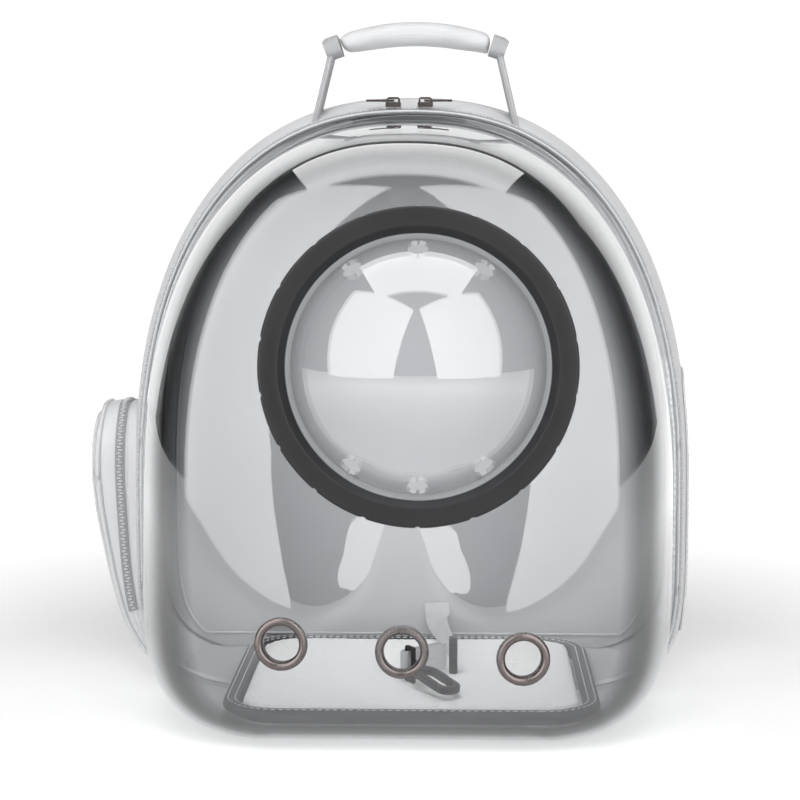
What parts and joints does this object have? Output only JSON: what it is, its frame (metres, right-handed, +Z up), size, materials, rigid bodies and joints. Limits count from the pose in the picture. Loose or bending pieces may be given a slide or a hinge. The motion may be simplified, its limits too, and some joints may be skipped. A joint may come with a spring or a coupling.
{
  "type": "bubble pet carrier backpack",
  "caption": "Soft backpack for a small pet with a clear domed front shell, a round bubble window, vents, a mesh side, a side pocket, a mat, a leash hook and a carry handle.",
  "frame": {"origin": "middle of the underside of the whole object's box, on the floor", "axes": "+X to the right seen from the front, +Y towards the back with the shoulder straps, +Z up"},
  "size_m": [0.3692, 0.3686, 0.403],
  "materials": {
    "clear_shell": "clear, faintly smoky, glossy plastic sheet",
    "clear_bubble": "clear glossy plastic",
    "black_plastic": "satin black plastic",
    "gunmetal": "smooth dark metal plating",
    "white_cloth": "white synthetic leather and padded cloth",
    "grey_lining": "pale grey woven lining",
    "grey_tape": "grey zip tape and teeth",
    "white_mesh": "fine white net",
    "fleece": "short white pile",
    "dark_binding": "dark grey woven binding",
    "webbing": "ribbed pale webbing"
  },
  "bodies": {
    "bag": {"front_shell": "clear_shell", "bubble_dome": "clear_bubble", "bubble_ring": "black_plastic", "vent_grommet_left": "gunmetal", "vent_grommet_middle": "gunmetal", "vent_grommet_right": "gunmetal", "zip_tape": "grey_tape", "zip_chain": "grey_tape", "side_band": "white_cloth", "side_mesh": "white_mesh", "side_lining": "grey_lining", "back_panel": "white_cloth", "back_piping": "white_cloth", "pocket_pouch": "white_cloth", "pocket_zip": "grey_tape", "pocket_piping": "white_cloth", "handle_grip": "white_cloth", "handle_cap_left": "webbing", "handle_cap_right": "webbing", "handle_strap_left": "webbing", "handle_strap_right": "webbing", "zip_slider_left": "gunmetal", "zip_slider_right": "gunmetal", "pocket_slider": "gunmetal", "mat_border": "dark_binding", "mat_pad": "fleece", "tether_strap": "webbing", "tether_slide": "black_plastic", "hook_eye": "black_plastic", "tether_loop": "webbing", "shoulder_strap_left": "white_cloth", "shoulder_strap_right": "white_cloth", "strap_adjuster_left": "black_plastic", "strap_adjuster_right": "black_plastic", "strap_webbing_left": "webbing", "strap_webbing_right": "webbing", "strap_anchor_left": "white_cloth", "strap_anchor_right": "white_cloth"},
    "pull_left": {"zip_pull_left": "gunmetal"},
    "pull_right": {"zip_pull_right": "gunmetal"},
    "pull_pocket": {"pocket_pull": "gunmetal"},
    "hook": {"snap_hook": "black_plastic"}
  },
  "joints": [
    {"name": "zip_pull_left_lift", "type": "hinge", "parent": "bag", "child": "pull_left", "pos_m": [0.00436, 0.01299, 0.3554], "axis": [0, 1, 0], "range_deg": [0, 120]},
    {"name": "zip_pull_right_lift", "type": "hinge", "parent": "bag", "child": "pull_right", "pos_m": [0.02336, 0.01299, 0.3554], "axis": [0, -1, 0], "range_deg": [0, 120]},
    {"name": "pocket_pull_lift", "type": "hinge", "parent": "bag", "child": "pull_pocket", "pos_m": [-0.1624, 0.10849, 0.07662], "axis": [1, 0, 0], "range_deg": [0, 150]},
    {"name": "hook_swivel", "type": "hinge", "parent": "bag", "child": "hook", "pos_m": [0.01863, -0.03294, 0.0245], "axis": [0.5251, -0.8403, -0.1349], "range_deg": [-18, 18]}
  ]
}
